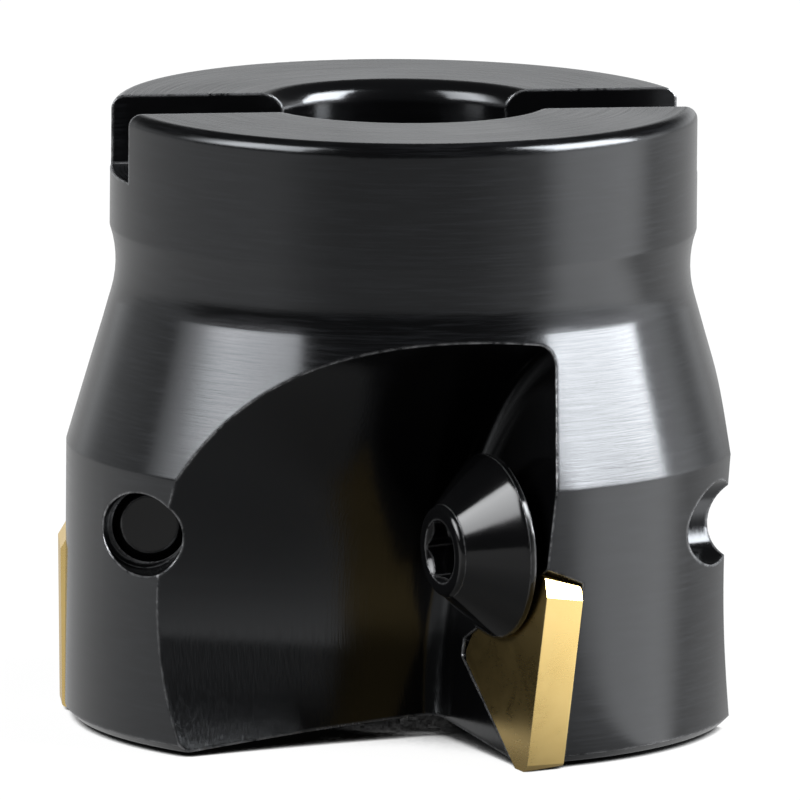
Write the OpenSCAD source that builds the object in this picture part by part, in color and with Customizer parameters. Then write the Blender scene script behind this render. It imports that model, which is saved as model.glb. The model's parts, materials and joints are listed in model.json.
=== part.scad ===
// Indexable face mill (shell mill) for a 3/4 inch arbor, 2 inch cutting diameter.
// Three screw-clamped triangular carbide inserts, 90 degree lead, right-hand cut.
// Origin: on the spindle axis, level with the floor of the drive slot.
// +Z runs up the arbor bore, and the drive slot runs along X.
// Angles round the body are counter-clockwise from +X, seen from above.

/* [Cutter body] */
// Diameter of the lower body, in mm.
body_d = 49.4; // [49:0.1:50]
// Diameter of the hub at the arbor end, in mm.
hub_d = 43.2; // [42:0.1:45]
// Height of the steel body, in mm.
body_h = 45.4; // [44:0.1:48]
// Height of the lower cylindrical part above the bottom rim, in mm.
skirt_h = 20.1; // [19.5:0.1:21]
// How far the insert tips stand below the body's bottom rim, in mm.
tip_drop = 0.4; // [0.3:0.1:0.8]

/* [Arbor seat] */
// Pilot bore diameter, in mm.
bore_d = 19.05; // [19:0.01:19.1]
// Depth of the pilot bore below the seat face, in mm.
bore_depth = 22.2; // [20:0.1:24]
// Width of the drive slot, in mm.
slot_w = 9.4; // [9.2:0.05:9.6]
// Depth of the drive slot, in mm.
slot_depth = 5.1; // [4.8:0.1:5.4]
// Diameter of the hole for the arbor screw, in mm.
arbor_hole_d = 10.3; // [10:0.1:11]
// Diameter of the counterbore for the arbor screw's head, in mm.
arbor_head_d = 14.6; // [14.4:0.1:15]

/* [Flutes] */
// Direction of the first flute's seat wall round the body, in degrees.
flute_angle = -74.1; // [-77:0.1:-71]
// Axial rake of the flute's seat wall, in degrees.
flute_rake = 6.9; // [6:0.1:7.5]
// Radius of the scooped flute floor, in mm.
flute_r = 25.3; // [25:0.1:25.6]
// Smallest distance from the axis to the flute floor, in mm.
flute_floor = 8.3; // [8.2:0.1:8.8]

/* [Inserts and clamps] */
// Cutting diameter over the inserts, in mm.
cutting_d = 50.8; // [50.6:0.1:51]
// Inscribed circle of the triangular insert, in mm.
insert_ic = 9.525; // [9.5:0.005:9.55]
// Thickness of the insert, in mm.
insert_t = 3.175; // [3.1:0.005:3.2]
// Diameter of the clamp screw's head, in mm.
head_d = 13.5; // [13:0.1:13.6]
// Nominal bore of the tapped hole for the clamp screw, in mm.
tapped_d = 5.5; // [5.4:0.05:5.6]

/* [Hidden] */
fn = 96;
flutes = 3;
big = 60;
body_r = body_d / 2;
hub_r = hub_d / 2;
z_top = slot_depth;
z_rim = z_top - body_h;
z_skirt = z_rim + skirt_h;
// Turned profile: a cone that runs tangent into a shallow cove under the hub.
z_hub = z_top - 9.2;
cove_r = 8.3;
cove_x = hub_r - 0.45 + cove_r;
cove_z = z_hub - sqrt(pow(cove_r, 2) - pow(cove_x - hub_r, 2));
cove_reach = [cove_x - body_r, cove_z - z_skirt];
cone_angle = asin(cove_r / norm(cove_reach)) - atan(cove_reach[0] / cove_reach[1]);
seat_edge_r = 0.95;
mouth_r = 1.5;
rim_break = 0.5;
// The bottom face is dished upwards towards the axis.
dish_rise = 2;
z_bore_floor = z_top - bore_depth;
z_head_seat = z_rim + 12.7;
bore_r = bore_d / 2;
arbor_hole_r = arbor_hole_d / 2;
arbor_head_r = arbor_head_d / 2;
// Flute: the scoop's centre sits outside the body, level with the lower part.
scoop_x = flute_floor + flute_r;
scoop_z = z_rim + 8.1;
scoop_corner_r = 1.4;
wall_offset = -0.24;
// Insert seat, turned a little back from the seat wall and raked.
seat_turn = -1.2;
insert_rake = 6.7;
insert_z = z_rim - tip_drop + 7.02;
insert_offset = 0;
flank_angle = 11;
side_dist = insert_ic / 2;
wiper_dist = 7.07;
corner_dist = 8;
seat_gap = 0.03;
pocket_corner = 8.55;
pocket_lead = 1.2;
// Clamp screw: its head dips a little, and its conical underside bears on the insert.
screw_turn = 2.7;
screw_dip = 1.75;
screw_x = 17.8;
screw_z = z_rim + 15.2;
head_r = head_d / 2;
nose_r = 3.4;
band_t = 0.75;
head_under = 1.38;
under_angle = 8.3;
neck_r = 3.3;
nose_h = 3.8;
rim_r = 0.4;
shank_r = tapped_d / 2 - 0.05;
shank_l = 12;
hex_flats = 3.97;
hex_depth = 3.2;
tapped_r = tapped_d / 2;
// The tapped hole's outer end is opened up a little on the low side.
mouth_grow = 0.3;
mouth_shift = 0.3;
mouth_z = 12.3;

// Places children at one of the stations round the body.
module station(i) {
    rotate([0, 0, i * 360 / flutes])
        children();
}

// Frame of the seat wall: X is radial, -Y points out of the wall.
module wall_frame() {
    rotate([0, 0, flute_angle])
        translate([0, wall_offset, scoop_z])
            rotate([-flute_rake, 0, 0])
                children();
}

// Frame of the insert: the cutting edge runs along Z, the rake face looks to -Y.
module insert_frame() {
    rotate([0, 0, flute_angle + seat_turn])
        translate([cutting_d / 2, insert_offset, insert_z])
            rotate([-insert_rake, 0, 0])
                children();
}

// Frame of the clamp screw: Z runs along its axis, out of the wall.
module screw_frame() {
    rotate([0, 0, flute_angle + screw_turn])
        translate([screw_x, 0, screw_z])
            rotate([90 + screw_dip, 0, 0])
                children();
}

// Half of the turned outline, solid down to the axis.
module body_outline() {
    difference() {
        union() {
            polygon([
                [0, z_rim + dish_rise],
                [body_r - rim_break - 0.1, z_rim],
                [body_r - rim_break, z_rim],
                [body_r, z_rim + rim_break],
                [body_r, z_skirt],
                [cove_x - cove_r * cos(cone_angle), cove_z - cove_r * sin(cone_angle)],
                [hub_r, z_hub],
                [hub_r, z_top - seat_edge_r],
                [hub_r - seat_edge_r, z_top],
                [0, z_top]
            ]);
            translate([hub_r - seat_edge_r, z_top - seat_edge_r])
                circle(r = seat_edge_r, $fn = fn);
        }
        translate([cove_x, cove_z])
            circle(r = cove_r, $fn = 2 * fn);
    }
}

// Pilot bore with its rounded mouth.
module bore_outline() {
    translate([0, z_bore_floor])
        square([bore_r, bore_depth + 1]);
    difference() {
        translate([0, z_top - mouth_r])
            square([bore_r + mouth_r, mouth_r + 1]);
        translate([bore_r + mouth_r, z_top - mouth_r])
            circle(r = mouth_r, $fn = fn);
    }
}

// Hole and counterbore for the screw that pulls the cutter onto its arbor.
module arbor_screw_hole() {
    translate([0, 0, z_rim])
        cylinder(r = arbor_hole_r, h = z_bore_floor - z_rim + 0.1, $fn = fn);
    translate([0, 0, z_rim - 1])
        cylinder(r = arbor_head_r, h = z_head_seat - z_rim + 1, $fn = fn);
    translate([0, 0, z_bore_floor - 0.6])
        cylinder(r1 = arbor_hole_r, r2 = arbor_hole_r + 0.8, h = 0.8, $fn = fn);
}

// Drive slot across the hub.
module drive_slot() {
    translate([-big / 2, -slot_w / 2, 0])
        cube([big, slot_w, slot_depth + 1]);
}

// Round scoop whose flat end is the seat wall, with a filleted corner.
module flute_scoop() {
    wall_frame()
        translate([scoop_x, 0, 0])
            rotate([90, 0, 0])
                rotate_extrude($fn = 2 * fn)
                    union() {
                        translate([0, scoop_corner_r])
                            square([flute_r, big]);
                        square([flute_r - scoop_corner_r, big]);
                        translate([flute_r - scoop_corner_r, scoop_corner_r])
                            circle(r = scoop_corner_r, $fn = fn);
                    }
}

// Everything inside one flank plane of an insert, relieved behind the edge.
module flank(direction, dist) {
    rotate([0, -direction, 0])
        translate([dist, 0, 0])
            rotate([0, 0, flank_angle])
                translate([-big, -big / 2, -big / 2])
                    cube([big, big, big]);
}

// Recess in the seat wall: two side walls, a floor and a blunt inner corner.
module insert_pocket() {
    insert_frame()
        translate([-side_dist, 0, 0])
            intersection() {
                translate([-big / 4, -pocket_lead, -big / 4])
                    cube([big / 2, pocket_lead + insert_t + seat_gap, big / 2]);
                flank(120, side_dist + seat_gap);
                flank(240, side_dist + seat_gap);
                flank(180, pocket_corner);
            }
}

// Tapped hole for a clamp screw, through to the outside of the body.
module clamp_hole() {
    screw_frame() {
        translate([0, 0, -big / 2])
            cylinder(r = tapped_r, h = big / 2 + 3, $fn = fn);
        translate([mouth_shift, -mouth_shift / 3, -mouth_z - mouth_grow]) {
            cylinder(r1 = tapped_r + mouth_grow, r2 = tapped_r, h = mouth_grow, $fn = fn);
            translate([0, 0, -big / 4])
                cylinder(r = tapped_r + mouth_grow, h = big / 4, $fn = fn);
        }
    }
}

module cutter_body() {
    color([0.09, 0.09, 0.1])
        difference() {
            rotate_extrude($fn = 2 * fn)
                body_outline();
            rotate_extrude($fn = 2 * fn)
                bore_outline();
            arbor_screw_hole();
            drive_slot();
            for (i = [0 : flutes - 1])
                station(i) {
                    flute_scoop();
                    insert_pocket();
                    clamp_hole();
                }
        }
}

// Triangular insert with a wiper flat and a small chamfer at each corner.
module insert() {
    color([0.8, 0.62, 0.28])
        insert_frame()
            translate([-side_dist, 0, 0])
                intersection() {
                    translate([-big / 4, 0, -big / 4])
                        cube([big / 2, insert_t, big / 2]);
                    flank(0, side_dist);
                    flank(120, side_dist);
                    flank(240, side_dist);
                    flank(30, wiper_dist);
                    flank(150, wiper_dist);
                    flank(270, wiper_dist);
                    flank(75, corner_dist);
                    flank(195, corner_dist);
                    flank(315, corner_dist);
                }
}

// Rounded front rim, cone, band and relieved underside of the clamp screw.
module screw_outline() {
    z_band = head_under + band_t;
    z_nose = z_band + nose_h;
    z_neck = head_under - (head_r - neck_r) * tan(under_angle);
    polygon([
        [0, -shank_l],
        [shank_r - 0.6, -shank_l],
        [shank_r, 0.6 - shank_l],
        [shank_r, z_neck],
        [neck_r, z_neck],
        [head_r - 0.15, head_under],
        [head_r, head_under + 0.15],
        [head_r, z_band - 0.2],
        [head_r - 0.15, z_band],
        [nose_r, z_nose - rim_r],
        [nose_r - rim_r, z_nose],
        [0, z_nose]
    ]);
    translate([nose_r - rim_r, z_nose - rim_r])
        circle(r = rim_r, $fn = fn);
}

module clamp_screw() {
    z_nose = head_under + band_t + nose_h;
    color([0.14, 0.14, 0.15])
        screw_frame()
            difference() {
                rotate_extrude($fn = fn)
                    screw_outline();
                translate([0, 0, z_nose - hex_depth])
                    cylinder(d = hex_flats / cos(30), h = hex_depth + 1, $fn = 6);
                translate([0, 0, z_nose - 0.35])
                    cylinder(r1 = 2, r2 = 2.75, h = 0.75, $fn = fn);
            }
}

module insert_1() { station(0) insert(); }
module insert_2() { station(1) insert(); }
module insert_3() { station(2) insert(); }
module clamp_screw_1() { station(0) clamp_screw(); }
module clamp_screw_2() { station(1) clamp_screw(); }
module clamp_screw_3() { station(2) clamp_screw(); }

cutter_body();
insert_1();
insert_2();
insert_3();
clamp_screw_1();
clamp_screw_2();
clamp_screw_3();
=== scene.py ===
"""Looks of the indexable face mill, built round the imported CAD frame."""
import json
import math

import bpy
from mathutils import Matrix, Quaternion, Vector

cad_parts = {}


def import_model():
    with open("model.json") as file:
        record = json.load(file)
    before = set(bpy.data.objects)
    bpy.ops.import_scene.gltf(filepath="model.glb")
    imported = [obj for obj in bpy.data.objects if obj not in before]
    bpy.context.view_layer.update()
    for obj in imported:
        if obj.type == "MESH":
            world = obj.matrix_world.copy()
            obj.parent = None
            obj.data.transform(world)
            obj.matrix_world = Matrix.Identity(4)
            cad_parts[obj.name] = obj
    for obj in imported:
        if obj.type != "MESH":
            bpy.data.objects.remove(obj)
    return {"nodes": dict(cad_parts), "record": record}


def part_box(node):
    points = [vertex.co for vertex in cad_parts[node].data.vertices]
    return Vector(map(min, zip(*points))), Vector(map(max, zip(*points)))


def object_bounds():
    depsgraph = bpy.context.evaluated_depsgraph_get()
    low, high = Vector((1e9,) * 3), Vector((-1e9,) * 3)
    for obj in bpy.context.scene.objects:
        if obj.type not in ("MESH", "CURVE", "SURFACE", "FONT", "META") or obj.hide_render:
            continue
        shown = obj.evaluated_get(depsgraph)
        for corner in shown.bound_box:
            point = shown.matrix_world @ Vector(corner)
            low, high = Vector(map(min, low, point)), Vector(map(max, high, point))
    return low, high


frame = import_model()
cad_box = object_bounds()

MM = 0.001
record = frame["record"]
body_lo, body_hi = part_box("cutter_body")
Z_RIM = body_lo[2]
Z_TOP = body_hi[2]
Z_FLOOR = cad_box[0][2]   # the insert tips stand on the floor

# The camera circles a reference point on the spindle axis. Angles are in degrees,
# the distance in metres, sensor and lens in millimetres, the shift in frame widths.
YAW = -8.6
ELEVATION = 9.51
ROLL = 0.488
DISTANCE = 1.505
REFERENCE_HEIGHT = 22 * MM
SENSOR = 36.0
LENS = 919.1
SHIFT = (-0.00195, 0.0184)

# The body's turned cone: heights above the rim, and radii.
CONE_LOW, CONE_HIGH = 20.1 * MM, 31.1 * MM
CONE_WIDE, CONE_NARROW = 24.7 * MM, 21.48 * MM
MILLED_TOP = Z_TOP - 13.4 * MM   # the flutes' milled look ends here
OUTER_RADIUS = 20.3 * MM    # only the turned outside lies beyond this

# Colours: black oxide, the light streaks on its turned outside, bare worn steel,
# and gold nitride with its ground lines and edges.
BODY_DARK = (0.0014, 0.0014, 0.0015, 1)
BODY_LIGHT = (0.0028, 0.0028, 0.0031, 1)
STREAK = (0.009, 0.0094, 0.0106, 1)
BODY_BARE = (0.50, 0.50, 0.51, 1)
SCREW_DARK = (0.0018, 0.0018, 0.002, 1)
SCREW_LIGHT = (0.004, 0.004, 0.0044, 1)
SCREW_BARE = (0.55, 0.55, 0.56, 1)
GOLD_DARK = (0.95, 0.67, 0.245, 1)
GOLD_LIGHT = (1.0, 0.75, 0.31, 1)
GOLD_GROUND = (0.90, 0.62, 0.21, 1)
GOLD_EDGE = (0.95, 0.80, 0.45, 1)
COOL_WHITE = (0.97, 0.985, 1.0)

# The floor: its half width, how bright the camera sees it, how bright the cutter
# sees it to the side, and where the painted pool of light on it lies.
FLOOR_HALF = 4.0
FLOOR_SEEN = 0.97
FLOOR_BESIDE = 0.50
PAINTED_POOL_RIGHT, PAINTED_POOL_AHEAD = 19 * MM, 15 * MM   # the painted pool's bearing is taken from here
PAINTED_POOL_BEARING = math.radians(6)   # ahead of straight right
PAINTED_POOL_LIGHT = 1.15
NO_LENGTH = 0.001           # keeps a division away from zero

# The room's light: everywhere, then low down beside, behind and to the far right.
ROOM_ALL = 0.035
ROOM_BESIDE = 0.34
ROOM_BEHIND = 0.56
ROOM_RIGHT = 1.1


# ------------------------------------------------------------------ nodes
class Nodes:
    """A short way to write a node tree. Values may be numbers or sockets."""

    def __init__(self, tree):
        self.tree = tree
        tree.nodes.clear()

    def new(self, kind, **settings):
        node = self.tree.nodes.new(kind)
        for key, value in settings.items():
            setattr(node, key, value)
        return node

    def link(self, a, b):
        self.tree.links.new(a, b)

    def put(self, node, socket, value):
        if isinstance(value, bpy.types.NodeSocket):
            self.link(value, node.inputs[socket])
        else:
            node.inputs[socket].default_value = value

    def math(self, op, a, b=0.0, clamp=False):
        node = self.new("ShaderNodeMath", operation=op, use_clamp=clamp)
        self.put(node, 0, a)
        self.put(node, 1, b)
        return node.outputs[0]

    def times(self, a, b):
        return self.math("MULTIPLY", a, b)

    def length(self, a, b):
        """The root of a squared plus b squared."""
        return self.math("SQRT", self.math("ADD", self.times(a, a), self.times(b, b)))

    def remap(self, value, lo, hi, to_lo=0.0, to_hi=1.0, smooth=False):
        """Takes lo to to_lo and hi to to_hi, and never goes beyond them."""
        node = self.new("ShaderNodeMapRange", clamp=True)
        node.interpolation_type = "SMOOTHSTEP" if smooth else "LINEAR"
        for i, v in enumerate((value, lo, hi, to_lo, to_hi)):
            self.put(node, i, v)
        return node.outputs[0]

    def noise(self, vector, scale, detail, rough, distortion=0.0):
        node = self.new("ShaderNodeTexNoise")
        self.put(node, "Vector", vector)
        self.put(node, "Scale", scale)
        self.put(node, "Detail", detail)
        self.put(node, "Roughness", rough)
        self.put(node, "Distortion", distortion)
        return node.outputs["Fac"]

    def stretched(self, values, scales):
        """A vector of three sockets, each times its own scale, for streaky noise."""
        node = self.new("ShaderNodeCombineXYZ")
        for i, (value, scale) in enumerate(zip(values, scales)):
            self.put(node, i, self.times(value, scale))
        return node.outputs[0]

    def split(self, vector):
        node = self.new("ShaderNodeSeparateXYZ")
        self.link(vector, node.inputs[0])
        return node.outputs

    def mix(self, fac, a, b):
        """Between two colours."""
        node = self.new("ShaderNodeMix", data_type="RGBA")
        self.put(node, 0, fac)
        self.put(node, 6, a)
        self.put(node, 7, b)
        return node.outputs[2]

    def blend(self, fac, a, b):
        """Between two numbers."""
        node = self.new("ShaderNodeMix", data_type="FLOAT")
        self.put(node, 0, fac)
        self.put(node, 2, a)
        self.put(node, 3, b)
        return node.outputs[0]

    def bump(self, height, distance, strength, normal):
        node = self.new("ShaderNodeBump")
        self.put(node, "Height", height)
        self.put(node, "Distance", distance)
        self.put(node, "Strength", strength)
        self.put(node, "Normal", normal)
        return node.outputs[0]


def material(name):
    """A new material with one Principled shader: itself, its nodes and the shader."""
    mat = bpy.data.materials.new(name)
    mat.use_nodes = True
    n = Nodes(mat.node_tree)
    out = n.new("ShaderNodeOutputMaterial")
    bsdf = n.new("ShaderNodeBsdfPrincipled")
    n.link(bsdf.outputs[0], out.inputs[0])
    return mat, n, bsdf


def edge_mask(n, radius, lo, hi):
    """1 on a convex or concave edge, 0 on open faces, and the rounded normal."""
    bevel = n.new("ShaderNodeBevel", samples=6)
    n.put(bevel, "Radius", radius)
    geo = n.new("ShaderNodeNewGeometry")
    dot = n.new("ShaderNodeVectorMath", operation="DOT_PRODUCT")
    n.link(bevel.outputs[0], dot.inputs[0])
    n.link(geo.outputs["Normal"], dot.inputs[1])
    return n.remap(dot.outputs["Value"], hi, lo), bevel.outputs[0]


def connect(n, bsdf, colour, rough, normal, metallic, ior=None):
    """Join a material's sockets to its shader; metallic is a socket or a number."""
    n.link(colour, bsdf.inputs["Base Color"])
    n.link(rough, bsdf.inputs["Roughness"])
    n.link(normal, bsdf.inputs["Normal"])
    n.put(bsdf, "Metallic", metallic)
    if ior is not None:
        bsdf.inputs["IOR"].default_value = ior


def body_steel():
    """Black-oxide steel: turned rings outside, milling lines in the flutes."""
    mat, n, bsdf = material("black_oxide_body")
    coord = n.new("ShaderNodeTexCoord").outputs["Object"]
    x, y, z = n.split(coord)
    radius = n.length(x, y)
    upward = n.split(n.new("ShaderNodeNewGeometry").outputs["Normal"])[2]
    top = n.remap(upward, 0.93, 0.985)
    # How far the surface lies inside the turned outline: skirt and cone.
    cone = n.remap(z, Z_RIM + CONE_LOW, Z_RIM + CONE_HIGH, CONE_WIDE, CONE_NARROW)
    milled = n.remap(n.math("SUBTRACT", cone, radius), 0.15 * MM, 0.4 * MM)
    below = n.remap(z, MILLED_TOP + 0.2 * MM, MILLED_TOP - 0.2 * MM)
    milled = n.times(milled, below)
    # Turning rings: fine across Z, long round the axis.
    rings = n.noise(n.stretched((x, y, z), (220, 220, 5200)), 1.0, 5.0, 0.7)
    # Facing rings on the top: fine across the radius.
    facing = n.noise(n.stretched((radius, x, y), (8000, 90, 90)), 1.0, 3.0, 0.6)
    # Milling lines run up the scoop, so they vary across it.
    lines = n.noise(n.stretched((x, y, z), (5200, 5200, 130)), 1.0, 3.0, 0.6)
    grain = n.blend(top, n.blend(milled, rings, lines), facing)
    fine = n.noise(coord, 2600.0, 4.0, 0.7)
    cloud = n.noise(coord, 95.0, 4.0, 0.6, 0.6)
    smear = n.noise(coord, 30.0, 3.0, 0.55, 1.2)
    edge, rounded = edge_mask(n, 0.34 * MM, 0.80, 0.98)
    worn = n.times(edge, n.remap(n.noise(coord, 900.0, 4.0, 0.7), 0.37, 0.60))
    colour = n.mix(cloud, BODY_DARK, BODY_LIGHT)
    outside = n.math("SUBTRACT", n.remap(radius, OUTER_RADIUS, OUTER_RADIUS + 0.6 * MM), milled)
    streak = n.math("MULTIPLY", n.remap(grain, 0.46, 0.72), outside, clamp=True)
    colour = n.mix(streak, colour, STREAK)
    colour = n.mix(worn, colour, BODY_BARE)
    rough = n.remap(grain, 0.25, 0.8, 0.10, 0.19)
    rough = n.math("ADD", rough, n.remap(smear, 0.35, 0.7, 0.0, 0.05))
    for where, change in ((top, 0.10), (milled, -0.03), (worn, 0.15)):
        rough = n.math("ADD", rough, n.times(where, change))
    normal = n.bump(grain, 0.005 * MM, 0.7, rounded)
    normal = n.bump(fine, 0.003 * MM, 0.12, normal)
    connect(n, bsdf, colour, rough, normal, worn, ior=1.66)
    bsdf.inputs["Specular Tint"].default_value = (0.94, 0.965, 1.0, 1)
    return mat


def screw_steel():
    """Black-oxide screw: turned cone with wear on its rims."""
    mat, n, bsdf = material("black_oxide_screw")
    coord = n.new("ShaderNodeTexCoord").outputs["Object"]
    cloud = n.noise(coord, 260.0, 4.0, 0.6, 0.4)
    fine = n.noise(coord, 5200.0, 4.0, 0.7)
    edge, rounded = edge_mask(n, 0.28 * MM, 0.82, 0.975)
    worn = n.times(edge, n.remap(n.noise(coord, 1500.0, 4.0, 0.7), 0.34, 0.54))
    colour = n.mix(cloud, SCREW_DARK, SCREW_LIGHT)
    colour = n.mix(worn, colour, SCREW_BARE)
    rough = n.math("ADD", n.remap(cloud, 0.3, 0.7, 0.08, 0.13), n.times(worn, 0.1))
    normal = n.bump(fine, 0.003 * MM, 0.15, rounded)
    connect(n, bsdf, colour, rough, normal, worn, ior=1.62)
    return mat


def insert_coating():
    """Ground carbide with a gold titanium-nitride coating."""
    mat, n, bsdf = material("gold_nitride_insert")
    coord = n.new("ShaderNodeTexCoord").outputs["Object"]
    ground = n.noise(n.stretched(n.split(coord), (1500, 1500, 9000)), 1.0, 3.0, 0.6)
    cloud = n.noise(coord, 240.0, 4.0, 0.6, 0.5)
    edge, rounded = edge_mask(n, 0.07 * MM, 0.80, 0.985)
    colour = n.mix(cloud, GOLD_DARK, GOLD_LIGHT)
    colour = n.mix(n.remap(ground, 0.3, 0.8, 0.0, 0.15), colour, GOLD_GROUND)
    colour = n.mix(n.times(edge, 0.5), colour, GOLD_EDGE)
    rough = n.remap(ground, 0.3, 0.8, 0.24, 0.28)
    rough = n.math("ADD", rough, n.remap(cloud, 0.3, 0.7, 0.0, 0.06))
    normal = n.bump(cloud, 0.001 * MM, 0.1, rounded)
    connect(n, bsdf, colour, rough, normal, 1.0)
    return mat


SLOT_MATERIALS = {
    "body_steel": body_steel(),
    "insert_coating": insert_coating(),
    "screw_steel": screw_steel(),
}
for part in record["subparts"]:
    node = frame["nodes"][part["node"]]
    mat = SLOT_MATERIALS[part["material_slot"]]
    for slot in node.material_slots:
        slot.material = mat


# ------------------------------------------------------------------ studio
def studio_point(across, away, up):
    """A point so far to the right, away from the camera, and above the floor."""
    a = math.radians(YAW)
    return Vector((across * math.cos(a) - away * math.sin(a),
                   across * math.sin(a) + away * math.cos(a), Z_FLOOR + up))


def studio_axes(n, x, y):
    """The same two directions as sockets, from world x and y."""
    c, s = math.cos(math.radians(YAW)), math.sin(math.radians(YAW))
    across = n.math("ADD", n.times(x, c), n.times(y, s))
    away = n.math("SUBTRACT", n.times(y, c), n.times(x, s))
    return across, away


def softbox(name, near, far, low, high, radiance, colour, glow):
    """A box standing from its near end to its far end, facing the cutter.

    glow pairs a place along its width with how bright it is there."""
    near, far = Vector(near), Vector(far)
    middle, width, height = (near + far) / 2, (far - near).length, high - low
    light = bpy.data.lights.new(name, "AREA")
    light.shape = "RECTANGLE"
    light.size, light.size_y = width, height
    light.energy = radiance * math.pi * width * height
    light.color = colour
    light.use_nodes = True
    n = Nodes(light.node_tree)
    out = n.new("ShaderNodeOutputLight")
    emit = n.new("ShaderNodeEmission")
    n.link(emit.outputs[0], out.inputs[0])
    ramp = n.new("ShaderNodeValToRGB")
    while len(ramp.color_ramp.elements) < len(glow):
        ramp.color_ramp.elements.new(0.5)
    for element, (at, level) in zip(ramp.color_ramp.elements, glow):
        element.position = at
        element.color = (level, level, level, 1)
    along = n.split(n.new("ShaderNodeNewGeometry").outputs["Parametric"])[0]
    n.link(along, ramp.inputs[0])
    n.link(ramp.outputs[0], emit.inputs["Strength"])
    lamp = bpy.data.objects.new(name, light)
    bpy.context.scene.collection.objects.link(lamp)
    lamp.location = studio_point(middle.x, middle.y, (low + high) / 2)
    facing = Vector((middle.y - near.y, near.x - middle.x))
    if facing.dot(middle) > 0:
        facing = -facing
    aim = studio_point(middle.x + facing.x, middle.y + facing.y, (low + high) / 2)
    lamp.rotation_mode = "QUATERNION"
    lamp.rotation_quaternion = (aim - lamp.location).to_track_quat("-Z", "Y")
    lamp.visible_camera = False


softbox("softbox_left", near=(-0.336, -0.393), far=(-0.93, 0.13), low=0.185, high=0.75,
        radiance=8.2, colour=COOL_WHITE,
        glow=((0.0, 0.06), (0.12, 0.12), (0.32, 0.31), (0.43, 0.58),
              (0.53, 0.88), (0.64, 1.0), (0.85, 0.80), (1.0, 0.60)))
softbox("softbox_right", near=(0.452, -0.262), far=(0.852, 0.197), low=0.175, high=0.75,
        radiance=16.5, colour=(0.95, 0.975, 1.0),
        glow=((0.0, 1.05), (0.5, 1.0), (1.0, 1.0)))


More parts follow.
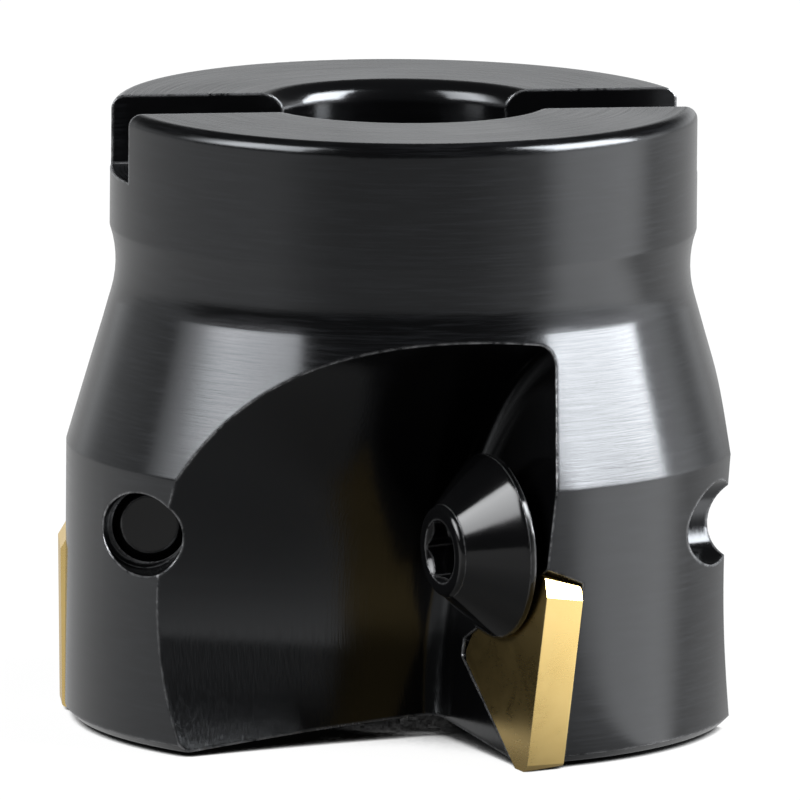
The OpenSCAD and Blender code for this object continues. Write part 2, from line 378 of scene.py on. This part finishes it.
def floor():
    """Plain pale floor. What the cutter reflects of it has painted shade in front and
    a painted pool of light under the right softbox; the camera sees it evenly bright with a
    painted shadow under the body."""
    mesh = bpy.data.meshes.new("floor")
    corners = [(-1, -1), (1, -1), (1, 1), (-1, 1)]
    mesh.from_pydata([(i * FLOOR_HALF, j * FLOOR_HALF, Z_FLOOR) for i, j in corners],
                     [], [(0, 1, 2, 3)])
    ground = bpy.data.objects.new("floor", mesh)
    bpy.context.scene.collection.objects.link(ground)
    mat, n, bsdf = material("pale_floor_with_painted_light")
    bsdf.inputs["Base Color"].default_value = (0.05, 0.05, 0.05, 1)
    bsdf.inputs["Roughness"].default_value = 0.9
    bsdf.inputs["Specular IOR Level"].default_value = 0.0
    bsdf.inputs["Emission Color"].default_value = (1, 1, 1, 1)
    x, y = n.split(n.new("ShaderNodeTexCoord").outputs["Object"])[:2]
    across, away = studio_axes(n, x, y)
    nearer = n.times(away, -1.0)
    far = n.math("MAXIMUM", n.length(x, y), NO_LENGTH)
    # In front, painted shade: the cosine of the bearing from straight ahead, used to dim the
    # glow near the body.
    front = n.math("DIVIDE", nearer, far)
    painted_front_dim = n.remap(far, 30 * MM, 60 * MM, 0.08, 0.23)
    painted_floor_light = n.blend(n.remap(front, 0.6, 0.97, smooth=True), FLOOR_BESIDE, painted_front_dim)
    # The painted pool of light under the right softbox: the cosine of the bearing from its
    # middle.
    side = n.math("SUBTRACT", across, PAINTED_POOL_RIGHT)
    ahead = n.math("SUBTRACT", nearer, PAINTED_POOL_AHEAD)
    reach = n.math("MAXIMUM", n.length(side, ahead), NO_LENGTH)
    lobe = n.math("ADD", n.times(side, math.cos(PAINTED_POOL_BEARING)),
                  n.times(ahead, math.sin(PAINTED_POOL_BEARING)))
    lobe = n.math("DIVIDE", lobe, reach)
    painted_floor_light = n.math("ADD", painted_floor_light, n.remap(lobe, 0.84, 0.985, 0.0, PAINTED_POOL_LIGHT, smooth=True))
    # Painted shadow: under the body ambient occlusion darkens the floor's glow.
    painted_shadow_ao = n.new("ShaderNodeAmbientOcclusion", samples=16)
    painted_shadow_ao.inputs["Distance"].default_value = 20 * MM
    lit_outside_painted_shadow = n.remap(painted_shadow_ao.outputs["AO"], 0.13, 0.34, smooth=True)
    # The camera sees the evenly bright floor with its painted shadow; reflections see the
    # painted shade and the painted pool.
    seen = n.new("ShaderNodeLightPath").outputs["Is Camera Ray"]
    glow = n.blend(seen, painted_floor_light, n.times(lit_outside_painted_shadow, FLOOR_SEEN))
    n.link(glow, bsdf.inputs["Emission Strength"])
    mesh.materials.append(mat)


floor()


def world():
    """A dark room. Low down it is pale beside and behind the cutter, and bright to
    the far right."""
    room = bpy.data.worlds.new("studio")
    room.use_nodes = True
    n = Nodes(room.node_tree)
    out = n.new("ShaderNodeOutputWorld")
    back = n.new("ShaderNodeBackground")
    n.link(back.outputs[0], out.inputs[0])
    x, y, z = n.split(n.new("ShaderNodeTexCoord").outputs["Generated"])
    across, away = studio_axes(n, x, y)
    low = n.remap(z, 0.10, 0.42, 1.0, 0.0, smooth=True)
    beside = n.remap(away, -0.1, 0.25, 0.0, ROOM_BESIDE, smooth=True)
    behind = n.remap(away, 0.6, 0.95, 0.0, ROOM_BEHIND, smooth=True)
    right = n.remap(across, 0.72, 0.97, 0.0, ROOM_RIGHT, smooth=True)
    level = n.math("ADD", n.math("ADD", beside, behind), right)
    level = n.math("ADD", n.times(low, level), ROOM_ALL)
    n.link(level, back.inputs["Strength"])
    back.inputs["Color"].default_value = (*COOL_WHITE, 1)
    bpy.context.scene.world = room


world()


def camera_direction():
    """Unit vector from the cutter towards the camera."""
    a, e = math.radians(YAW), math.radians(ELEVATION)
    return Vector((math.sin(a) * math.cos(e), -math.cos(a) * math.cos(e), math.sin(e)))


def camera():
    """The photograph's view: a long lens a little above the cutter, slightly rolled."""
    data = bpy.data.cameras.new("camera")
    data.sensor_width = SENSOR
    data.lens = LENS
    cam = bpy.data.objects.new("camera", data)
    scene = bpy.context.scene
    scene.collection.objects.link(cam)
    scene.camera = cam
    reference = Vector((0, 0, Z_RIM + REFERENCE_HEIGHT))
    back = camera_direction()
    cam.location = reference + back * DISTANCE
    cam.rotation_mode = "QUATERNION"
    look = (-back).to_track_quat("-Z", "Y")
    cam.rotation_quaternion = Quaternion(back, math.radians(ROLL)) @ look
    data.shift_x, data.shift_y = SHIFT
    data.clip_start, data.clip_end = 0.05, 20.0


camera()
bpy.context.scene.view_settings.view_transform = "Standard"
